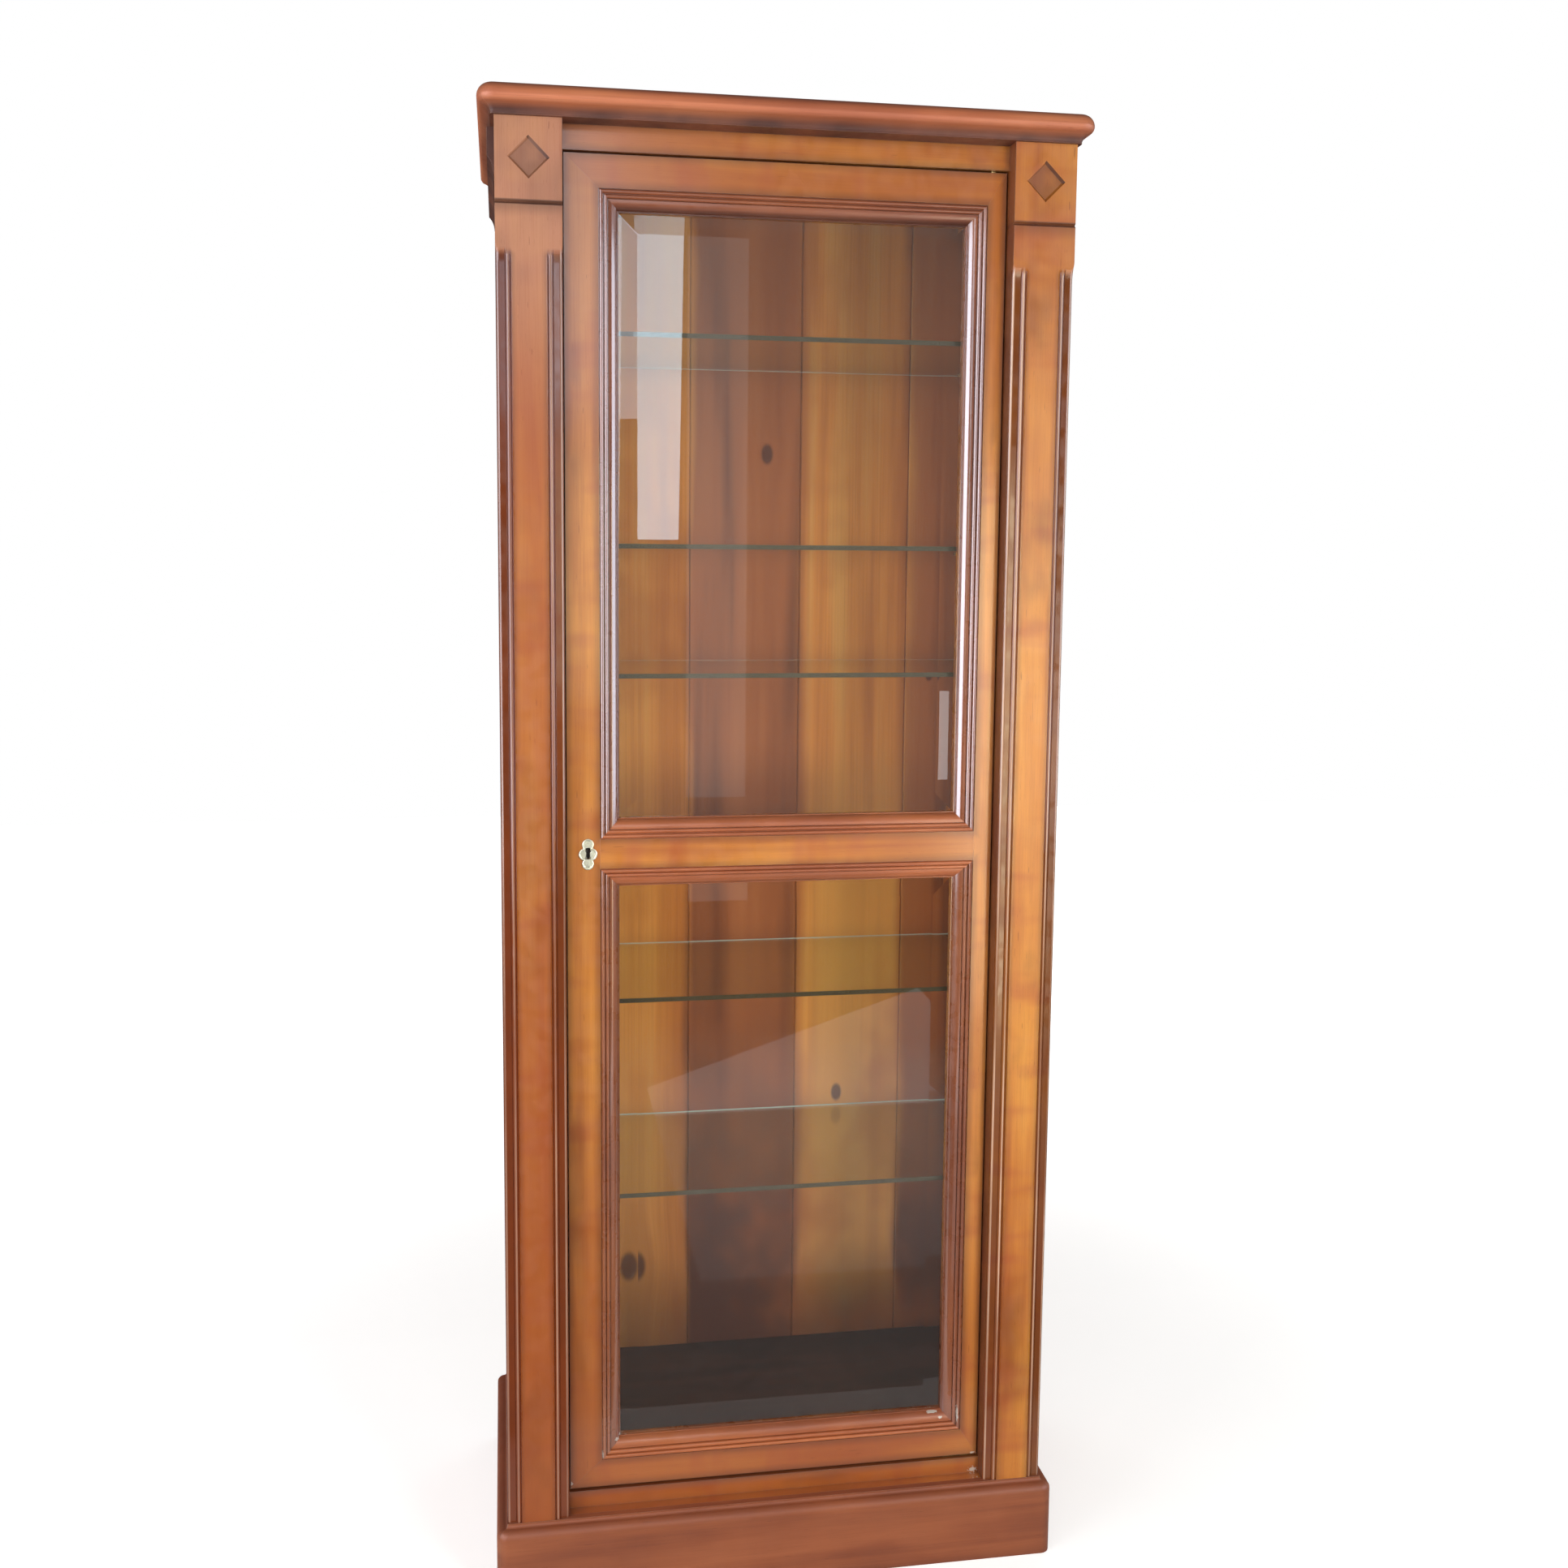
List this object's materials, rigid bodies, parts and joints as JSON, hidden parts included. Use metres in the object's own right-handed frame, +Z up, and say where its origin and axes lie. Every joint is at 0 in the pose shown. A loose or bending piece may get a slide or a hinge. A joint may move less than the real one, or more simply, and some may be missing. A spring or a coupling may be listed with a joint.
{
  "type": "display cabinet",
  "caption": "Tall wooden display cabinet with a bevelled-glass door between moulded pilasters, a rounded cornice, a plinth and glass shelves.",
  "frame": {"origin": "middle of the footprint, on the floor", "axes": "+Z up, the door faces -Y, +X to the right of someone facing the door"},
  "size_m": [0.76, 0.39, 1.9],
  "materials": {
    "cherry": "satin varnish",
    "cherry_moulding": "satin varnish over dark glaze",
    "back_boards": "matt wax",
    "bevelled_glass": "polished",
    "shelf_glass": "polished",
    "brass": "aged",
    "steel": "satin"
  },
  "bodies": {
    "carcase": {"pilaster_left": "cherry", "pilaster_right": "cherry", "frieze_rail": "cherry", "bottom_rail": "cherry", "rear_post_left": "cherry", "rear_post_right": "cherry", "side_top_rail_left": "cherry", "side_top_rail_right": "cherry", "side_bottom_rail_left": "cherry", "side_bottom_rail_right": "cherry", "side_panel_left": "cherry", "side_panel_right": "cherry", "lock_side_stop": "cherry", "hinge_side_liner": "cherry", "floor_board": "cherry", "ceiling_board": "cherry", "shelf_battens": "cherry", "corner_blocks": "cherry", "top_cover": "cherry", "cornice_front": "cherry_moulding", "cornice_left": "cherry_moulding", "cornice_right": "cherry_moulding", "plinth_front": "cherry_moulding", "plinth_left": "cherry_moulding", "plinth_right": "cherry_moulding", "side_frieze_left": "cherry_moulding", "side_frieze_right": "cherry_moulding", "shelf_1": "shelf_glass", "shelf_2": "shelf_glass", "shelf_3": "shelf_glass", "shelf_4": "shelf_glass", "shelf_5": "shelf_glass", "back_boards": "back_boards", "shelf_pins": "brass", "hinge_frame_leaves": "brass", "strike_plate": "brass", "frame_screws": "brass"},
    "door": {"door_lock_stile": "cherry", "door_hinge_stile": "cherry", "door_top_rail": "cherry", "door_bottom_rail": "cherry", "door_mid_rail": "cherry", "upper_moulding_top": "cherry_moulding", "upper_moulding_bottom": "cherry_moulding", "upper_moulding_left": "cherry_moulding", "upper_moulding_right": "cherry_moulding", "lower_moulding_top": "cherry_moulding", "lower_moulding_bottom": "cherry_moulding", "lower_moulding_left": "cherry_moulding", "lower_moulding_right": "cherry_moulding", "upper_glass_beads": "cherry_moulding", "lower_glass_beads": "cherry_moulding", "upper_glass": "bevelled_glass", "lower_glass": "bevelled_glass", "escutcheon": "brass", "lock_case": "steel", "lock_plate": "steel", "hinge_door_leaves": "brass", "door_screws": "brass"},
    "lock_bolt": {"lock_bolt": "steel"}
  },
  "joints": [
    {"name": "door_hinge", "type": "hinge", "parent": "carcase", "child": "door", "pos_m": [0.262, -0.1425, 0.981], "axis": [0, 0, 1], "range_deg": [0, 100]},
    {"name": "bolt_slide", "type": "slide", "parent": "door", "child": "lock_bolt", "axis": [-1, 0, 0], "range_m": [0, 0.008]}
  ]
}
